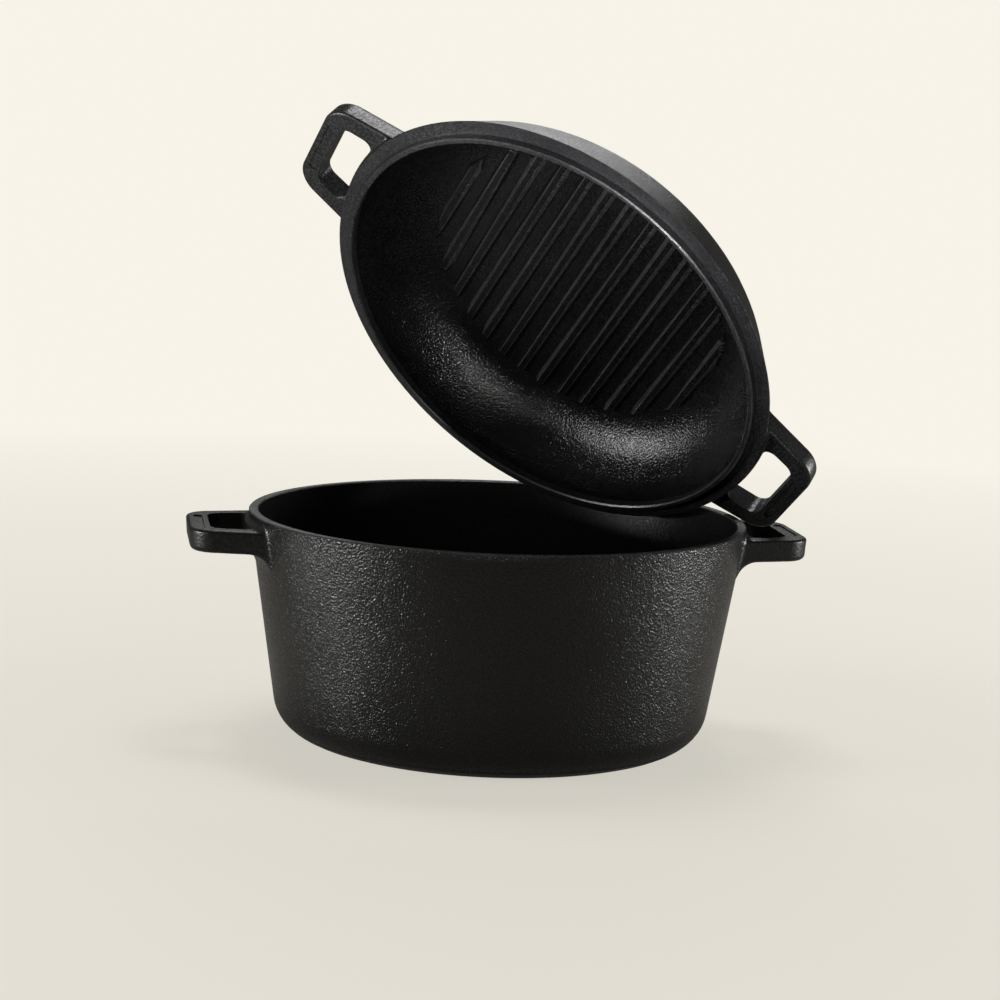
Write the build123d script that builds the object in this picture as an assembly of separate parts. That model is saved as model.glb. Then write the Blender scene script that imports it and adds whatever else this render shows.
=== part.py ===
"""Double dutch oven: a deep cast-iron pot and the ribbed skillet that covers it.

Two castings. The pot stands on z = 0 with its axis on Z. The skillet is drawn
in its own frame (mouth plane at z = 0, mouth facing +Z, handles on X) and then
leant on the pot, hooked by one handle in the pot's handle loop.
"""
import os
from math import cos, hypot, radians, sin, tan

from build123d import *

os.makedirs("parts", exist_ok=True)

# Pot, millimetres.
RIM_R = 130.0
POT_H = 117.0
POT_BASE_R = 111.55
POT_BASE_BLEND = 20.7
POT_WALL = 5.0
POT_FLOOR = 5.5
POT_HANDLE_YAW = 9.3
RIM_BREAK = 0.6

# Skillet: flat flange that sits on the pot's rim, raised lip that drops inside it.
PAN_DEPTH = 42.0
PAN_WALL_ANGLE = 33.5
PAN_BASE_BLEND = 44.0
PAN_KNEE_BLEND = 25.0
PAN_WALL = 4.8
PAN_FLOOR = 4.5
LIP_R = 122.2
LIP_IN_R = 119.0
LIP_H = 4.3
LIP_BREAK = 0.7

# Grill ribs on the skillet's floor. Their feet start a little below it, so the
# root fillets cross the floor instead of lying in it.
RIB_N = 13
RIB_PITCH = 13.4
RIB_SHIFT = -1.8
RIB_BASE = 8.0
RIB_TOP = 3.4
RIB_H = 3.0
RIB_SUNK = 0.25
RIB_FIELD_R = 89.0

# Loop handles: reach from the axis, half widths at the rim and at the bar, outer
# corner radius, drop of the face below the rim, thickness, underside sweep, root blend.
POT_LOOP = dict(reach=161.6, root=38.1, bar=31.6, corner=15.0, drop=5.9, thick=11.8,
                sweep=10.0, angle=65.0, blend=4.0)
PAN_LOOP = dict(reach=158.5, root=38.0, bar=32.0, corner=15.0, drop=4.4, thick=11.6,
                sweep=10.0, angle=38.0, blend=2.3)
POT_EYE = dict(reach=150.7, root=28.0, bar=25.0, corner=9.0, land=2.9, inner=3.0)
PAN_EYE = dict(reach=148.4, root=26.6, bar=23.4, corner=7.5, land=3.6, inner=4.5)
DRAFT = 4.0
LOW_EDGE_R = 3.2
FACE_EDGE_R = 1.6
CHANNEL_W = 4.4
CHANNEL_DEPTH = 0.8
CHANNEL_LEN = 38.0

# Where the skillet rests in the assembly: flange centre, mouth normal, handle axis.
PAN_CENTRE = (21.8, 20.3, 213.6)
PAN_NORMAL = (-0.475, -0.666, -0.574)
PAN_HANDLE = (0.818, -0.094, -0.567)


def pot_wall(z):
    return POT_BASE_R + (RIM_R - POT_BASE_R) * z / POT_H


def pan_wall(z):
    return RIM_R + z * tan(radians(PAN_WALL_ANGLE))


def turned(points, blends=(), bevels=()):
    """Solid of revolution about Z from a half section; blends are (point, radius) and
    bevels are (point, leg), for edges that are only broken by the grinder."""
    face = make_face(Polyline(*points, close=True))
    for treat, corners in ((fillet, blends), (chamfer, bevels)):
        for point, size in corners:
            face = treat(face.vertices().sort_by_distance(Vector(*point))[0], size)
    return revolve(Plane.XZ * face, axis=Axis.Z)


def plan(x0, size):
    """Handle outline about the X axis, `root` wide at the rim and `bar` wide outside."""
    slope = (size["root"] - size["bar"]) / (size["reach"] - RIM_R)
    wide = size["root"] + slope * (RIM_R - x0)
    x1, bar = size["reach"], size["bar"]
    face = make_face(Polyline((x0, -wide), (x1, -bar), (x1, bar), (x0, wide), close=True))
    return fillet(face.vertices().filter_by(lambda v: v.X > x1 - 0.1), size["corner"])


def side_section(loop, top, low, foot):
    """Handle in side view: flat face and a bar that sweeps down into the wall."""
    r, a = loop["sweep"], radians(loop["angle"])
    start = foot + r * sin(a)
    mid = (start - r * sin(a / 2), low - r * (1 - cos(a / 2)))
    end = (foot, low - r * (1 - cos(a)))
    deep = (end[0] - 4 * cos(a), end[1] - 4 * sin(a))
    return make_face([
        Line((90, top), (190, top)), Line((190, top), (190, low)),
        Line((190, low), (start, low)), ThreePointArc((start, low), mid, end),
        Line(end, deep), Line(deep, (90, deep[1])), Line((90, deep[1]), (90, top))])


def channel(x, top):
    """Shallow round-ended groove along the face of a handle's bar."""
    slot = SlotOverall(CHANNEL_LEN, CHANNEL_W, rotation=90)
    return extrude(Pos(x, 0, top + 1) * slot, amount=1 + CHANNEL_DEPTH, dir=(0, 0, -1))


def loop_tab(loop, eye, rim_z, wall):
    """One handle before its eye is cut: drafted tab, swept underside, channelled bar."""
    top = rim_z - loop["drop"]
    low = top - loop["thick"]
    tab = extrude(Pos(0, 0, top) * plan(95, loop), amount=45, dir=(0, 0, -1), taper=DRAFT)
    tab &= revolve(Plane.XZ * side_section(loop, top, low, wall(low)), axis=Axis.Z)

    def on_underside(edge):
        mid, inner_end = edge @ 0.5, abs((edge @ 0).X - (edge @ 1).X) < 0.1
        return mid.X > 112 and mid.Z < low + 0.1 and not (
            inner_end and mid.X < loop["reach"] - 3)

    tab = fillet(tab.edges().filter_by(on_underside), LOW_EDGE_R)
    face = tab.edges().filter_by(lambda e: (e @ 0.5).X > 105 and (e @ 0.5).Z > top - 0.05)
    tab = fillet(face, FACE_EDGE_R)
    return tab - channel((loop["reach"] + eye["reach"]) / 2 - 0.6, top)


def both_sides(shape):
    return [shape, Rot(0, 0, 180) * shape]


def add_loops(body, loop, eye, rim_z, wall):
    """Fuse both handles, blend their roots into the wall and cut the eyes."""
    for tab in both_sides(loop_tab(loop, eye, rim_z, wall)):
        body += tab
    top = rim_z - loop["drop"]

    def at_root(edge):
        for at in (0.1, 0.5, 0.9):
            p = edge @ at
            if abs(hypot(p.X, p.Y) - wall(p.Z)) > 0.05:
                return False
        return top - loop["thick"] - 15 < (edge @ 0.5).Z < top + 0.5 and abs(p.Y) < 60

    body = fillet(body.edges().filter_by(at_root), loop["blend"])
    z0, z1 = rim_z - 60, rim_z + 30
    clear = turned([(0, z0), (wall(z0) + eye["land"], z0), (wall(z1) + eye["land"], z1),
                    (0, z1)])
    hole = extrude(Pos(0, 0, top + 5) * plan(95, eye), amount=45, dir=(0, 0, -1)) - clear
    upright = hole.edges().filter_by(lambda e: abs((e @ 0).Z - (e @ 1).Z) > 40)
    hole = fillet(upright.sort_by(lambda e: (e @ 0.5).X)[:2], eye["inner"])
    for cut in both_sides(hole):
        body -= cut
    return body


def pot():
    outer = turned([(0, 0), (POT_BASE_R, 0), (RIM_R, POT_H), (0, POT_H)],
                   [((POT_BASE_R, 0), POT_BASE_BLEND)], [((RIM_R, POT_H), RIM_BREAK)])
    low = pot_wall(POT_FLOOR) - POT_WALL
    high = RIM_R - POT_WALL
    inner = turned([(0, POT_FLOOR), (low, POT_FLOOR), (high, POT_H - RIM_BREAK),
                    (high + RIM_BREAK, POT_H), (high + RIM_BREAK, POT_H + 5), (0, POT_H + 5)],
                   [((low, POT_FLOOR), POT_BASE_BLEND - POT_WALL)])
    body = add_loops(outer, POT_LOOP, POT_EYE, POT_H, pot_wall) - inner
    return Rot(0, 0, POT_HANDLE_YAW) * body


def ribs(floor_z):
    """Parallel ribs across the handle axis, cut to a round field with sloped ends."""
    half, top, foot = RIB_BASE / 2, RIB_TOP / 2, RIB_BASE / 2 + 1.2
    section = make_face(Polyline((-foot, -1.5), (foot, -1.5), (foot, -RIB_SUNK),
                                 (half, -RIB_SUNK), (top, RIB_H), (-top, RIB_H),
                                 (-half, -RIB_SUNK), (-foot, -RIB_SUNK), close=True))
    crest = section.vertices().filter_by(lambda v: v.Y > RIB_H - 0.1)
    section = fillet(crest, 0.9)
    valley = section.vertices().filter_by(
        lambda v: abs(v.Y + RIB_SUNK) < 0.1 and abs(v.X) < foot - 0.1)
    section = fillet(valley, 1.0)
    bar = extrude(Plane.XZ * section, amount=RIB_FIELD_R, both=True)
    field = Pos(RIB_SHIFT, 0, floor_z - 1.5) * Cone(
        RIB_FIELD_R + 1.5, RIB_FIELD_R - RIB_H - 0.5, RIB_H + 2.0,
        align=(Align.CENTER, Align.CENTER, Align.MIN))
    rows = []
    for i in range(RIB_N):
        x = RIB_SHIFT + (i - (RIB_N - 1) / 2) * RIB_PITCH
        rows.append((Pos(x, 0, floor_z) * bar) & field)
    return rows


def skillet():
    a = radians(PAN_WALL_ANGLE)
    foot = pan_wall(-PAN_DEPTH)
    outer = turned([(0, -PAN_DEPTH), (foot, -PAN_DEPTH), (RIM_R, 0), (LIP_R, 0),
                    (LIP_R - 0.2, LIP_H), (0, LIP_H)],
                   [((foot, -PAN_DEPTH), PAN_BASE_BLEND)],
                   [((RIM_R, 0), RIM_BREAK), ((LIP_R - 0.2, LIP_H), LIP_BREAK)])
    floor_z = PAN_FLOOR - PAN_DEPTH
    inside = RIM_R - PAN_WALL / cos(a)
    knee_z = -(inside - LIP_IN_R) / tan(a)
    low = inside + floor_z * tan(a)
    inner = turned([(0, floor_z), (low, floor_z), (LIP_IN_R, knee_z), (LIP_IN_R, LIP_H),
                    (LIP_R, LIP_H), (LIP_R, LIP_H + 2), (0, LIP_H + 2)],
                   [((low, floor_z), PAN_BASE_BLEND - PAN_WALL),
                    ((LIP_IN_R, knee_z), PAN_KNEE_BLEND)],
                   [((LIP_IN_R, LIP_H), LIP_BREAK)])
    return add_loops(outer, PAN_LOOP, PAN_EYE, 0, pan_wall) - (inner - ribs(floor_z))


def leant(shape):
    """Move the skillet from its own frame to where it rests on the pot."""
    return Plane(origin=PAN_CENTRE, x_dir=PAN_HANDLE, z_dir=PAN_NORMAL) * shape


if __name__ == "__main__":
    for name, solid in (("pot", pot()), ("skillet_lid", leant(skillet()))):
        assert solid.is_valid and len(solid.solids()) == 1, name
        export_step(solid, f"parts/{name}.step")
        print(name, round(solid.volume / 1000, 1), "cm3", solid.bounding_box())
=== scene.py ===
import math

import bpy
from mathutils import Matrix, Vector


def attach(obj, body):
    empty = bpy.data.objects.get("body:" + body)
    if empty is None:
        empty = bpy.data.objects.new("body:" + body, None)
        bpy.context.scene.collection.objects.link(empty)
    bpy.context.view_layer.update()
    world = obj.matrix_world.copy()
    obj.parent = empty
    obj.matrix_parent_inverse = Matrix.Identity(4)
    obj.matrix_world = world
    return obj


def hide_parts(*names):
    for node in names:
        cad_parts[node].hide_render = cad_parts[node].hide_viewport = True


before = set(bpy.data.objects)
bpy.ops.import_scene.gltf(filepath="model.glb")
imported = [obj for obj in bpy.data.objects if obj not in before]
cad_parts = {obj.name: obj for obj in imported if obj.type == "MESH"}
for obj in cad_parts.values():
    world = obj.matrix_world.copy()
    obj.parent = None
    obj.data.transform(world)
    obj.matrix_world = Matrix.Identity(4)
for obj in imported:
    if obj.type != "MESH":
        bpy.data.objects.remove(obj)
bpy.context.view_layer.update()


# The pot: one deep bowl with two loop handles, sand cast in grey iron in one
# pour. Only the rim is ground flat; the rest keeps the skin of the mould, and
# oil is baked on to it as a black seasoning.
RIM_RADIUS = 0.130
RIM_HEIGHT = 0.117
FOOT_RADIUS = 0.11155
POT_SHELL = 0.005
GROUND_DEPTH = 0.0008
LOOP_CLEARANCE = 0.0006
PINHOLES_PER_METRE = 130.0
PINHOLE_CLUSTERS_PER_METRE = 31.0
PATCHES_PER_METRE = 19.0
MOTTLE_PER_METRE = 140.0
BLACK_SKIN = (0.0034, 0.0034, 0.0036)
BLACK_INSIDE = (0.004, 0.004, 0.0042)
GROUND_IRON = (0.035, 0.035, 0.037)
HANDLED_IRON = (0.008, 0.008, 0.0084)


def casting_from(node, name):
    """A smooth-shaded piece with the shape of a CAD node, its loose triangles joined."""
    bpy.ops.object.select_all(action="DESELECT")
    piece = bpy.data.objects.new(name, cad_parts[node].data.copy())
    bpy.context.scene.collection.objects.link(piece)
    piece.data.materials.clear()
    bpy.context.view_layer.objects.active = piece
    piece.select_set(True)
    bpy.ops.object.mode_set(mode="EDIT")
    bpy.ops.mesh.select_all(action="SELECT")
    bpy.ops.mesh.customdata_custom_splitnormals_clear()
    bpy.ops.mesh.remove_doubles(threshold=0.000002)
    bpy.ops.object.mode_set(mode="OBJECT")
    bpy.ops.object.shade_smooth_by_angle(angle=math.radians(33))
    return piece


def add_node(tree, kind, place, **settings):
    node = tree.nodes.new(kind)
    node.location = place
    for key, value in settings.items():
        setattr(node, key, value)
    return node


def feed(tree, socket, value):
    """Links a socket's value, or writes a plain number or colour into the socket."""
    if isinstance(value, bpy.types.NodeSocket):
        tree.links.new(value, socket)
    else:
        socket.default_value = value


def maths(tree, operation, place, first, second):
    node = add_node(tree, "ShaderNodeMath", place, operation=operation)
    feed(tree, node.inputs[0], first)
    feed(tree, node.inputs[1], second)
    return node.outputs[0]


def scaled(tree, place, value, source, target):
    """Maps value from the source range on to the target range, clamped."""
    node = add_node(tree, "ShaderNodeMapRange", place)
    for socket, number in zip(node.inputs, (value, *source, *target)):
        feed(tree, socket, number)
    return node.outputs[0]


def noise(tree, place, vector, scale, detail, roughness=0.5):
    node = add_node(tree, "ShaderNodeTexNoise", place)
    feed(tree, node.inputs["Vector"], vector)
    feed(tree, node.inputs["Scale"], scale)
    node.inputs["Detail"].default_value = detail
    node.inputs["Roughness"].default_value = roughness
    return node.outputs[0]


def make_mould_skin():
    """Skin of a sand casting: pebbles the size of the mould's grains, finer grit on
    them, broad patches where the seasoning is thicker, and a few pinholes."""
    group = bpy.data.node_groups.new("mould_skin", "ShaderNodeTree")
    for name in ("Pebbles per Metre", "Grit", "Pinholes"):
        group.interface.new_socket(name, in_out="INPUT", socket_type="NodeSocketFloat")
    for name in ("Height", "Peaks", "Patches", "Mottle"):
        group.interface.new_socket(name, in_out="OUTPUT", socket_type="NodeSocketFloat")
    given = add_node(group, "NodeGroupInput", (-1200, 0)).outputs
    out = add_node(group, "NodeGroupOutput", (700, 0)).inputs
    place = add_node(group, "ShaderNodeTexCoord", (-1200, -300)).outputs["Object"]

    # Pebbles are soft noise with the hollows between rounded cells taken off.
    count = given["Pebbles per Metre"]
    pebbles = noise(group, (-700, 200), place, count, 1.0)
    cells = add_node(group, "ShaderNodeTexVoronoi", (-700, 0), feature="SMOOTH_F1")
    feed(group, cells.inputs["Vector"], place)
    feed(group, cells.inputs["Scale"], maths(group, "MULTIPLY", (-950, 0), count, 1.1))
    cells.inputs["Smoothness"].default_value = 0.45
    hollows = maths(group, "MULTIPLY", (-550, 0), cells.outputs["Distance"], 0.35)
    lumps = maths(group, "SUBTRACT", (-400, 100), pebbles, hollows)
    grit = noise(group, (-700, -250), place,
                 maths(group, "MULTIPLY", (-950, -250), count, 2.7), 2.0)
    fine = maths(group, "MULTIPLY", (-400, -250), grit, given["Grit"])
    rough_skin = maths(group, "ADD", (-100, 0), lumps, fine)

    # Pinholes are round dots that only open where a broader noise is high.
    dots = add_node(group, "ShaderNodeTexVoronoi", (-700, -500), feature="F1")
    feed(group, dots.inputs["Vector"], place)
    dots.inputs["Scale"].default_value = PINHOLES_PER_METRE
    hole = scaled(group, (-400, -500), dots.outputs["Distance"], (0.05, 0.13), (1.0, 0.0))
    clusters = noise(group, (-700, -700), place, PINHOLE_CLUSTERS_PER_METRE, 1.0)
    rare = scaled(group, (-400, -700), clusters, (0.60, 0.64), (0.0, 1.0))
    open_holes = maths(group, "MULTIPLY", (-200, -500), hole, rare)
    pinholes = maths(group, "MULTIPLY", (0, -500), open_holes, given["Pinholes"])

    feed(group, out["Height"], maths(group, "SUBTRACT", (300, 0), rough_skin, pinholes))
    feed(group, out["Peaks"],
         scaled(group, (300, -200), rough_skin, (0.38, 0.60), (0.0, 1.0)))
    feed(group, out["Patches"],
         noise(group, (-700, -950), place, PATCHES_PER_METRE, 3.0, 0.6))
    feed(group, out["Mottle"],
         noise(group, (-700, -1150), place, MOTTLE_PER_METRE, 3.0, 0.65))
    return group


MOULD_SKIN = make_mould_skin()


def seasoned_iron(name, pebbles, relief, rough, colour, gloss, pinholes=0.0):
    """Black seasoned cast iron; relief is the height of its skin in metres. Its peaks
    are lighter and rubbed smoother than its hollows, and thick patches are duller."""
    material = bpy.data.materials.new(name)
    material.use_nodes = True
    tree = material.node_tree
    shader = tree.nodes["Principled BSDF"].inputs
    shader["IOR"].default_value = 1.5
    shader["Specular IOR Level"].default_value = gloss
    skin = add_node(tree, "ShaderNodeGroup", (-900, 0), node_tree=MOULD_SKIN)
    skin.inputs["Pebbles per Metre"].default_value = pebbles
    skin.inputs["Grit"].default_value = 0.25
    skin.inputs["Pinholes"].default_value = pinholes

    bump = add_node(tree, "ShaderNodeBump", (-250, -250))
    bump.inputs["Strength"].default_value = 1.0
    bump.inputs["Distance"].default_value = relief
    feed(tree, bump.inputs["Height"], skin.outputs["Height"])
    feed(tree, shader["Normal"], bump.outputs["Normal"])

    patchy = scaled(tree, (-650, 100), skin.outputs["Patches"], (0.3, 0.7),
                    (rough + 0.02, rough + 0.14))
    rubbed = maths(tree, "MULTIPLY", (-650, -100), skin.outputs["Peaks"], 0.10)
    feed(tree, shader["Roughness"], maths(tree, "SUBTRACT", (-450, 50), patchy, rubbed))

    cloud = maths(tree, "ADD", (-600, 300),
                  maths(tree, "MULTIPLY", (-750, 350), skin.outputs["Patches"], 0.6),
                  maths(tree, "MULTIPLY", (-750, 200), skin.outputs["Mottle"], 0.4))
    light = maths(tree, "MULTIPLY", (-300, 450),
                  scaled(tree, (-450, 300), cloud, (0.3, 0.7), (0.5, 1.0)),
                  skin.outputs["Peaks"])
    tint = add_node(tree, "ShaderNodeMix", (-250, 300), data_type="RGBA")
    tint.inputs["A"].default_value = (*[c * 0.4 for c in colour], 1)
    tint.inputs["B"].default_value = (*[c * 2.6 for c in colour], 1)
    feed(tree, tint.inputs["Factor"], light)
    feed(tree, shader["Base Color"], tint.outputs["Result"])
    return material


def paint_faces(piece, slot, chosen):
    """Gives the faces whose centre and normal are chosen another material slot."""
    for face in piece.data.polygons:
        if chosen(face.center, face.normal):
            face.material_index = slot


def pot_wall(height):
    """Radius of the pot's drafted outer wall."""
    return FOOT_RADIUS + (RIM_RADIUS - FOOT_RADIUS) * height / RIM_HEIGHT


def in_the_bowl(centre, normal):
    """Within the inner wall, and above the underside of the pot's floor."""
    inner = pot_wall(centre.z) - POT_SHELL
    return math.hypot(centre.x, centre.y) < inner + 0.001 and centre.z > 0.004


def on_the_rim(centre, normal):
    return centre.z > RIM_HEIGHT - GROUND_DEPTH


def on_a_loop(centre, normal):
    out = math.hypot(centre.x, centre.y)
    return out > pot_wall(centre.z) + LOOP_CLEARANCE and centre.z > 0.08


pot = casting_from("pot", "pot_casting")
for finish in (
        seasoned_iron("pot_skin", 950, 0.00036, 0.22, BLACK_SKIN, 0.6),
        seasoned_iron("pot_inside", 900, 0.00016, 0.36, BLACK_INSIDE, 0.3),
        seasoned_iron("ground_rim", 900, 0.00008, 0.30, GROUND_IRON, 0.5),
        seasoned_iron("pot_loops", 700, 0.00012, 0.31, HANDLED_IRON, 0.4, pinholes=0.3)):
    pot.data.materials.append(finish)
paint_faces(pot, 1, in_the_bowl)
paint_faces(pot, 2, on_the_rim)
paint_faces(pot, 3, on_a_loop)
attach(pot, "pot")
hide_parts("pot")


# The skillet lid: a shallow pan with the same two loops, cast the same way, with
# grill ribs on its floor. It leans open here, hooked by one loop in the pot's.
PAN_CENTRE = Vector((0.0218, 0.0203, 0.2136))
PAN_UP = Vector((-0.475, -0.666, -0.574)).normalized()
PAN_ALONG = Vector((0.818, -0.094, -0.567)).normalized()
PAN_SLOPE = math.tan(math.radians(33.5))
PAN_SHELL = 0.0048 / math.cos(math.radians(33.5))
PAN_UNDERSIDE = -0.0385
LIP_INSIDE = 0.1195
LIP_WALL = 0.1185
RIB_SHOULDER = (-0.0359, -0.0344)
RIB_FIELD = 0.0853
OILED_INSIDE = (0.0025, 0.0025, 0.0027)
FLANGE_IRON = (0.009, 0.009, 0.0100)
# Worn iron on the rib shoulders and broken edges, painted lighter also as a highlight line.
WORN_AND_HIGHLIT_IRON = (0.016, 0.016, 0.017)


def over_the_mouth(centre):
    """A point's height over the skillet's mouth, and its distance from the pan's axis."""
    offset = centre - PAN_CENTRE
    height = offset.dot(PAN_UP)
    return height, (offset - height * PAN_UP).length


def in_the_pan(centre, normal):
    """Within the sloped inner wall and the lip, and above the pan's underside."""
    height, out = over_the_mouth(centre)
    inner = RIM_RADIUS - PAN_SHELL + height * PAN_SLOPE
    return out < min(LIP_INSIDE, inner + 0.001) and height > PAN_UNDERSIDE


def on_the_flange(centre, normal):
    height, out = over_the_mouth(centre)
    return height > -0.0007 and out > LIP_WALL


def on_a_pan_loop(centre, normal):
    height, out = over_the_mouth(centre)
    along = abs((centre - PAN_CENTRE).dot(PAN_ALONG))
    return out > RIM_RADIUS + height * PAN_SLOPE + LOOP_CLEARANCE and along > 0.1


def on_a_worn_and_highlit_edge(centre, normal):
    """The rounded shoulders of the ribs and the broken edges of lip and flange: worn lighter
    iron, and a painted highlight along them.
    """
    height, out = over_the_mouth(centre)
    tilt = abs(normal.dot(PAN_UP))
    low, high = RIB_SHOULDER
    rib_shoulder = low < height < high and out < RIB_FIELD and 0.35 < tilt < 0.97
    broken_edge = height > -0.0008 and 0.3 < tilt < 0.95
    return rib_shoulder or broken_edge


lid = casting_from("skillet_lid", "skillet_casting")
for finish in (
        seasoned_iron("skillet_outside", 950, 0.00026, 0.30, BLACK_SKIN, 0.4),
        seasoned_iron("skillet_inside", 950, 0.00030, 0.17, OILED_INSIDE, 0.34),
        seasoned_iron("skillet_flange", 900, 0.00010, 0.34, FLANGE_IRON, 0.5),
        seasoned_iron("skillet_loops", 700, 0.00012, 0.29, HANDLED_IRON, 0.45, pinholes=0.3),
        # the rib shoulders and broken edges: worn iron and a painted highlight
        seasoned_iron("skillet_worn_and_highlit_edges", 900, 0.00005, 0.26, WORN_AND_HIGHLIT_IRON, 0.5)):
    lid.data.materials.append(finish)
paint_faces(lid, 1, in_the_pan)
paint_faces(lid, 2, on_the_flange)
paint_faces(lid, 3, on_a_pan_loop)
paint_faces(lid, 4, on_a_worn_and_highlit_edge)
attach(lid, "lid")
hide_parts("skillet_lid")


# The camera stands 1.3 m in front of the oven, a little above it, looking slightly
# down, and is rolled a little to the left as the photograph is.
CAMERA_PLACE = (0.00079, -1.3340, 0.3189)
CAMERA_DOWN = math.radians(8.29)
CAMERA_ROLL = math.radians(2.42)
camera_data = bpy.data.cameras.new("camera")
camera_data.lens = 92.7
camera_data.sensor_width = 36.0
camera = bpy.data.objects.new("camera", camera_data)
bpy.context.scene.collection.objects.link(camera)
camera.matrix_world = (Matrix.Translation(CAMERA_PLACE)
                       @ Matrix.Rotation(math.pi / 2 - CAMERA_DOWN, 4, "X")
                       @ Matrix.Rotation(CAMERA_ROLL, 4, "Z"))
bpy.context.scene.camera = camera


# The studio: a cream floor that runs into a backdrop of the same colour, and soft
# boxes: one overhead, one behind, one low at each side, and a small one that lies
# on the floor in front and is tipped away from the pot.
CREAM = (0.930, 0.896, 0.807)
FLOOR_RADIUS = 9.0
SHADOW_REACH = (0.25, 1.3)
OWN_COLOUR = (0.6, 1.0)
FLOOR_GLOSS = 0.08
AMBIENT = 0.09


def seen_directly(tree, place):
    """1 for camera and transmission rays, less for glossy ones, 0 for light."""
    path = add_node(tree, "ShaderNodeLightPath", place).outputs
    direct = maths(tree, "MAXIMUM", (place[0] + 200, place[1]),
                   path["Is Camera Ray"], path["Is Transmission Ray"])
    glossy = maths(tree, "MULTIPLY", (place[0] + 200, place[1] - 200),
                   path["Is Glossy Ray"], FLOOR_GLOSS)
    return maths(tree, "MAXIMUM", (place[0] + 400, place[1]), direct, glossy)


bpy.ops.object.select_all(action="DESELECT")
bpy.ops.mesh.primitive_circle_add(vertices=96, radius=FLOOR_RADIUS, fill_type="NGON")
floor = bpy.context.active_object
floor.name = "studio_floor"
bpy.ops.object.select_all(action="DESELECT")

# The paper takes the oven's shadow near it and has its own plain colour further off.
paper = bpy.data.materials.new("cream_paper")
paper.use_nodes = True
tree = paper.node_tree
tree.nodes.remove(tree.nodes["Principled BSDF"])
sheet = add_node(tree, "ShaderNodeBsdfDiffuse", (0, 100))
sheet.inputs["Color"].default_value = (*CREAM, 1)
glow = add_node(tree, "ShaderNodeEmission", (0, -100))
glow.inputs["Color"].default_value = (*CREAM, 1)
feed(tree, glow.inputs["Strength"], seen_directly(tree, (-1000, 200)))
place = add_node(tree, "ShaderNodeTexCoord", (-1000, -300)).outputs["Object"]
distance = add_node(tree, "ShaderNodeVectorMath", (-800, -300), operation="LENGTH")
feed(tree, distance.inputs[0], place)
far_off = scaled(tree, (-600, -300), distance.outputs["Value"], SHADOW_REACH, OWN_COLOUR)
mix = add_node(tree, "ShaderNodeMixShader", (250, 0))
feed(tree, mix.inputs[0], far_off)
feed(tree, mix.inputs[1], sheet.outputs[0])
feed(tree, mix.inputs[2], glow.outputs[0])
feed(tree, tree.nodes["Material Output"].inputs["Surface"], mix.outputs[0])
floor.data.materials.append(paper)

world = bpy.data.worlds.new("studio")
bpy.context.scene.world = world
world.use_nodes = True
tree = world.node_tree
background = tree.nodes["Background"]
background.inputs["Color"].default_value = (*CREAM, 1)
feed(tree, background.inputs["Strength"],
     maths(tree, "MAXIMUM", (-200, 0), seen_directly(tree, (-800, 0)), AMBIENT))


def soft_box(name, place, size, radiance, aim=(0.0, 0.0, 0.15)):
    """An area lamp of that radiance, turned to the oven or to another aim."""
    light = bpy.data.lights.new(name, "AREA")
    light.shape = "RECTANGLE"
    light.size, light.size_y = size
    light.energy = radiance * math.pi * size[0] * size[1]
    box = bpy.data.objects.new(name, light)
    box.location = place
    box.visible_camera = False
    box.rotation_mode = "QUATERNION"
    box.rotation_quaternion = (Vector(aim) - Vector(place)).to_track_quat("-Z", "Y")
    bpy.context.scene.collection.objects.link(box)


soft_box("box_overhead", (0.05, 0.30, 1.45), (0.5, 0.4), 10.0)
soft_box("box_back", (0.10, 1.40, 0.95), (1.0, 0.4), 3.0)
soft_box("box_left", (-1.22, -0.36, 0.13), (0.50, 0.24), 34.0)
soft_box("box_right", (1.28, 0.06, 0.13), (0.44, 0.24), 34.0)
soft_box("box_front", (-0.10, -0.86, 0.01), (0.36, 0.34), 340.0, (-0.10, -1.00, 1.0))

bpy.context.scene.view_settings.view_transform = "Standard"
